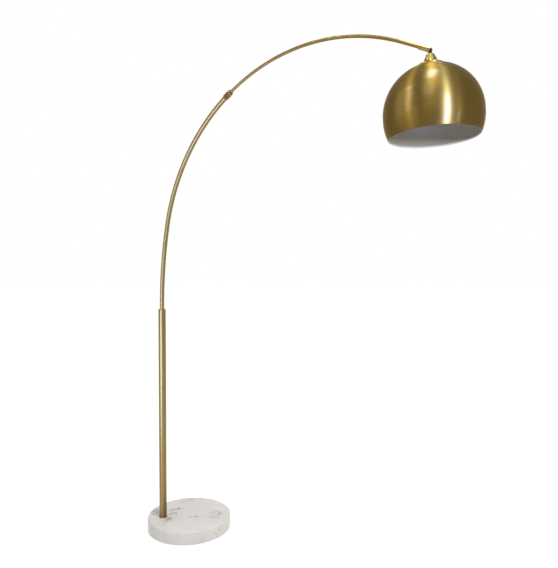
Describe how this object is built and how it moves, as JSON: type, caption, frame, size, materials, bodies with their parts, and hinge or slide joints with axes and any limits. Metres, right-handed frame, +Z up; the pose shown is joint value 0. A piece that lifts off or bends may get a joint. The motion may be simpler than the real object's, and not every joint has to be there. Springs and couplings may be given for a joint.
{
  "type": "arc floor lamp",
  "caption": "Arc floor lamp: round marble base, straight brass post, two-stage curved telescoping arm with a knurled twist lock, and a spun dome shade on a knuckle.",
  "frame": {"origin": "centre of the base's underside, on the floor", "axes": "+Z up; +X is the way the arm reaches at rest; +Y completes the right-handed frame"},
  "size_m": [1.2437, 0.3548, 1.639],
  "materials": {
    "marble": "polished",
    "pad": "matt",
    "rubber_black": "matt",
    "steel": "satin",
    "tube_brass": "satin brass plate",
    "turned_brass": "satin",
    "dark_brass": "aged",
    "dome_brass": "spun, brushed, brass coloured",
    "nylon": "matt",
    "black_metal": "satin black",
    "black_plastic": "gloss",
    "porcelain": "glazed"
  },
  "bodies": {
    "stand": {"base_pad": "pad", "marble_base": "marble", "cord_grommet": "rubber_black", "tie_rod": "steel", "clamp_washer": "steel", "spring_washer": "steel", "clamp_nut": "steel", "foot_ring": "dark_brass", "foot_plug": "steel", "post_tube": "tube_brass", "post_cap": "turned_brass", "swivel_bush": "nylon"},
    "lower_arm": {"arm_spigot": "turned_brass", "lower_arm_tube": "tube_brass", "lock_nipple": "turned_brass", "lock_collet": "nylon"},
    "lock_collar": {"lock_collar": "dark_brass"},
    "upper_arm": {"upper_arm_tube": "tube_brass", "arm_guide": "nylon", "tip_ferrule": "turned_brass", "tip_bush": "rubber_black", "knuckle_pin": "turned_brass"},
    "shade": {"swivel_tongue": "black_metal", "shade_cap": "turned_brass", "shade_nipple": "turned_brass", "shade_dome": "dome_brass", "dome_skirt": "dome_brass", "dome_washer": "steel", "dome_nut": "steel", "holder_cap": "black_plastic", "holder_body": "black_plastic", "holder_disc": "porcelain", "screw_shell": "steel", "centre_contact": "turned_brass", "terminal_screws": "steel", "holder_ring": "black_plastic"}
  },
  "joints": [
    {"name": "arm_swivel", "type": "hinge", "parent": "stand", "child": "lower_arm", "pos_m": [-0.06235, -0.07431, 0.82], "axis": [0, 0, 1], "range_deg": [-150, 150]},
    {"name": "collar_twist", "type": "hinge", "parent": "lower_arm", "child": "lock_collar", "pos_m": [0.26213, -0.07431, 1.5409], "axis": [0.854, 0, 0.5203], "range_deg": [0, 180]},
    {"name": "arm_extend", "type": "hinge", "parent": "lower_arm", "child": "upper_arm", "pos_m": [0.5951, -0.07431, 0.99434], "axis": [0, 1, 0], "range_deg": [-25, 5]},
    {"name": "shade_tilt", "type": "hinge", "parent": "upper_arm", "child": "shade", "pos_m": [0.95352, -0.07431, 1.5311], "axis": [0, 1, 0], "range_deg": [-50, 30]}
  ]
}
